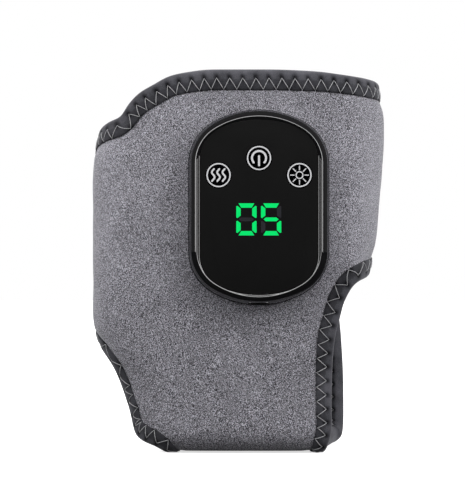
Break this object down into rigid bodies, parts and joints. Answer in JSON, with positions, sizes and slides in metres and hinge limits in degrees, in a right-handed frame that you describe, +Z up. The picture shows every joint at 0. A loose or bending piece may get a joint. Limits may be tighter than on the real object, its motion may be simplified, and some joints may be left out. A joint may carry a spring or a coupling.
{
  "type": "heated foot and ankle massager",
  "caption": "Padded cloth ankle wrap with open heel and toes, side-closing hook-and-loop flaps, and a black controller with a numeric display and round keys.",
  "frame": {"origin": "on the surface the wrap stands on, under the middle of its overall box", "axes": "+Z up the leg, +X towards the toes, +Y towards the side where the flaps close; the controller faces -Y"},
  "size_m": [0.1384, 0.0961, 0.1783],
  "materials": {
    "grey_velour": "brushed velour with a short nap",
    "grey_binding": "smooth stretch tape, matt",
    "dark_lining": "soft knit, matt",
    "white_foam": "open foam",
    "heating_film": "satin film",
    "hook_tape": "dense hooks",
    "black_gloss": "high gloss",
    "black_lens": "smoked gloss",
    "dark_matte": "fine matt texture",
    "green_board": "satin laminate",
    "silver_foil": "foil pouch",
    "steel": "plain metal",
    "red_wire": "smooth sleeve"
  },
  "bodies": {
    "wrap": {"main_panel_cover": "grey_velour", "rear_wing_cover": "grey_velour", "main_panel_foam": "white_foam", "rear_wing_foam": "white_foam", "main_panel_lining": "dark_lining", "rear_wing_lining": "dark_lining", "heating_film": "heating_film", "heel_binding": "grey_binding", "toe_binding": "grey_binding", "shoulder_binding": "grey_binding", "tongue_binding": "grey_binding", "rear_wing_binding": "grey_binding", "base_housing": "dark_matte", "backing_plate": "dark_matte", "led_display": "dark_matte", "heat_switch": "dark_matte", "power_switch": "dark_matte", "light_switch": "dark_matte", "bezel": "black_gloss", "display_lens": "black_lens", "circuit_board": "green_board", "battery": "silver_foil", "charging_socket": "steel", "left_motor": "steel", "right_motor": "steel", "plate_screw_1": "steel", "plate_screw_2": "steel", "plate_screw_3": "steel", "plate_screw_4": "steel", "board_screw_1": "steel", "board_screw_2": "steel", "board_screw_3": "steel", "board_screw_4": "steel", "heater_lead": "red_wire"},
    "collar_flap": {"collar_flap_cover": "grey_velour", "collar_flap_foam": "white_foam", "collar_flap_lining": "dark_lining", "collar_flap_binding": "grey_binding", "collar_hook_patch": "hook_tape"},
    "foot_flap": {"foot_flap_cover": "grey_velour", "foot_flap_foam": "white_foam", "foot_flap_lining": "dark_lining", "foot_flap_binding": "grey_binding", "foot_hook_patch": "hook_tape"},
    "heat_key": {"heat_key": "black_gloss"},
    "power_key": {"power_key": "black_gloss"},
    "light_key": {"light_key": "black_gloss"},
    "left_motor_weight": {"left_motor_weight": "steel"},
    "right_motor_weight": {"right_motor_weight": "steel"}
  },
  "joints": [
    {"name": "collar_flap_hinge", "type": "hinge", "parent": "wrap", "child": "collar_flap", "pos_m": [0.07025, 0.00725, 0.13], "axis": [0, 0, -1], "range_deg": [0, 100]},
    {"name": "foot_flap_hinge", "type": "hinge", "parent": "wrap", "child": "foot_flap", "pos_m": [0, 0.04825, 0.0113], "axis": [-1, 0, 0], "range_deg": [0, 90]},
    {"name": "heat_key_press", "type": "slide", "parent": "wrap", "child": "heat_key", "axis": [0, 1, 0], "range_m": [0, 0.0005], "stiffness_N_per_m": 1000},
    {"name": "power_key_press", "type": "slide", "parent": "wrap", "child": "power_key", "axis": [0, 1, 0], "range_m": [0, 0.0005], "stiffness_N_per_m": 1000},
    {"name": "light_key_press", "type": "slide", "parent": "wrap", "child": "light_key", "axis": [0, 1, 0], "range_m": [0, 0.0005], "stiffness_N_per_m": 1000},
    {"name": "left_motor_spin", "type": "hinge", "parent": "wrap", "child": "left_motor_weight", "pos_m": [-0.0091, -0.03845, 0.0824], "axis": [1, 0, 0], "continuous": true},
    {"name": "right_motor_spin", "type": "hinge", "parent": "wrap", "child": "right_motor_weight", "pos_m": [0.0275, -0.03845, 0.0824], "axis": [1, 0, 0], "continuous": true}
  ]
}
